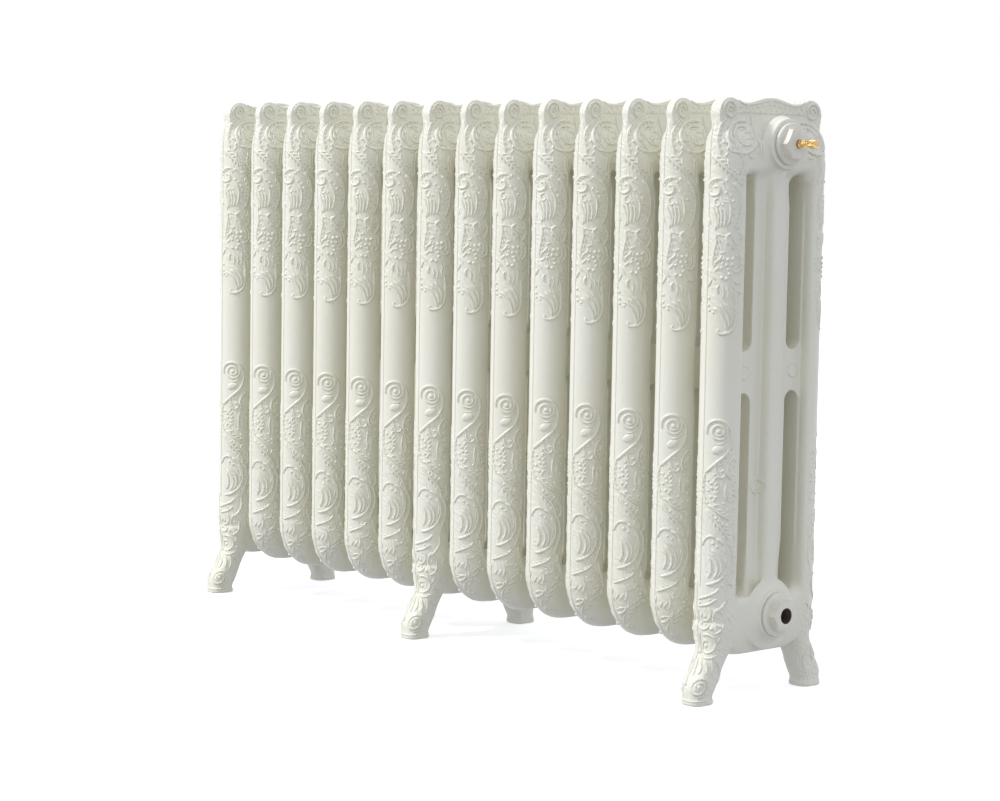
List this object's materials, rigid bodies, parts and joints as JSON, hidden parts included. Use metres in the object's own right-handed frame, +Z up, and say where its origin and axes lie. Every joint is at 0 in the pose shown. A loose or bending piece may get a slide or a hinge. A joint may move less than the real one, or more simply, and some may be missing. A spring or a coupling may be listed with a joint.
{
  "type": "cast iron radiator",
  "caption": "Freestanding ornate cast iron column radiator on scrolled feet, with open lower bushes for valves, a blank plug and a brass air vent.",
  "frame": {"origin": "on the floor, under the centre of the whole object's bounding box", "axes": "+X along the row of sections towards the end with the air vent, +Y from the front face to the back, +Z up"},
  "size_m": [1.1812, 0.244, 0.768],
  "materials": {
    "ivory_enamel": "satin warm white paint over cast iron with a fine sand-cast texture",
    "fitting_enamel": "satin warm white paint over machined iron, smoother than the castings",
    "nipple_iron": "plain machined malleable iron",
    "gasket_rubber": "matt black sheet gasket",
    "vent_brass": "turned and knurled bare brass",
    "o_ring_rubber": "smooth black rubber",
    "washer_fibre": "dark brown fibre washer"
  },
  "bodies": {
    "radiator": {"section_01": "ivory_enamel", "section_02": "ivory_enamel", "section_03": "ivory_enamel", "section_04": "ivory_enamel", "section_05": "ivory_enamel", "section_06": "ivory_enamel", "section_07": "ivory_enamel", "section_08": "ivory_enamel", "section_09": "ivory_enamel", "section_10": "ivory_enamel", "section_11": "ivory_enamel", "section_12": "ivory_enamel", "section_13": "ivory_enamel", "section_14": "ivory_enamel", "nipple_upper_01": "nipple_iron", "nipple_upper_02": "nipple_iron", "nipple_upper_03": "nipple_iron", "nipple_upper_04": "nipple_iron", "nipple_upper_05": "nipple_iron", "nipple_upper_06": "nipple_iron", "nipple_upper_07": "nipple_iron", "nipple_upper_08": "nipple_iron", "nipple_upper_09": "nipple_iron", "nipple_upper_10": "nipple_iron", "nipple_upper_11": "nipple_iron", "nipple_upper_12": "nipple_iron", "nipple_upper_13": "nipple_iron", "nipple_lower_01": "nipple_iron", "nipple_lower_02": "nipple_iron", "nipple_lower_03": "nipple_iron", "nipple_lower_04": "nipple_iron", "nipple_lower_05": "nipple_iron", "nipple_lower_06": "nipple_iron", "nipple_lower_07": "nipple_iron", "nipple_lower_08": "nipple_iron", "nipple_lower_09": "nipple_iron", "nipple_lower_10": "nipple_iron", "nipple_lower_11": "nipple_iron", "nipple_lower_12": "nipple_iron", "nipple_lower_13": "nipple_iron", "section_gaskets_upper": "gasket_rubber", "section_gaskets_lower": "gasket_rubber", "lower_right_bush": "fitting_enamel", "lower_left_bush": "fitting_enamel", "vent_bush": "fitting_enamel", "blank_plug": "fitting_enamel", "lower_right_bush_gasket": "gasket_rubber", "lower_left_bush_gasket": "gasket_rubber", "vent_bush_gasket": "gasket_rubber", "blank_plug_gasket": "gasket_rubber", "vent_body": "vent_brass", "vent_washer": "washer_fibre"},
    "vent_seal": {"vent_o_ring": "o_ring_rubber"},
    "vent_spindle": {"vent_spindle": "vent_brass"}
  },
  "joints": [
    {"name": "vent_travel", "type": "slide", "parent": "radiator", "child": "vent_seal", "axis": [1, 0, 0], "range_m": [0, 0.0008]},
    {"name": "vent_turn", "type": "hinge", "parent": "vent_seal", "child": "vent_spindle", "pos_m": [0.5614, 0, 0.71], "axis": [1, 0, 0], "range_deg": [0, 360]}
  ],
  "couplings": [
    {"joint": "vent_travel", "follows": "vent_turn", "m_per_rad": 0.00011937}
  ]
}
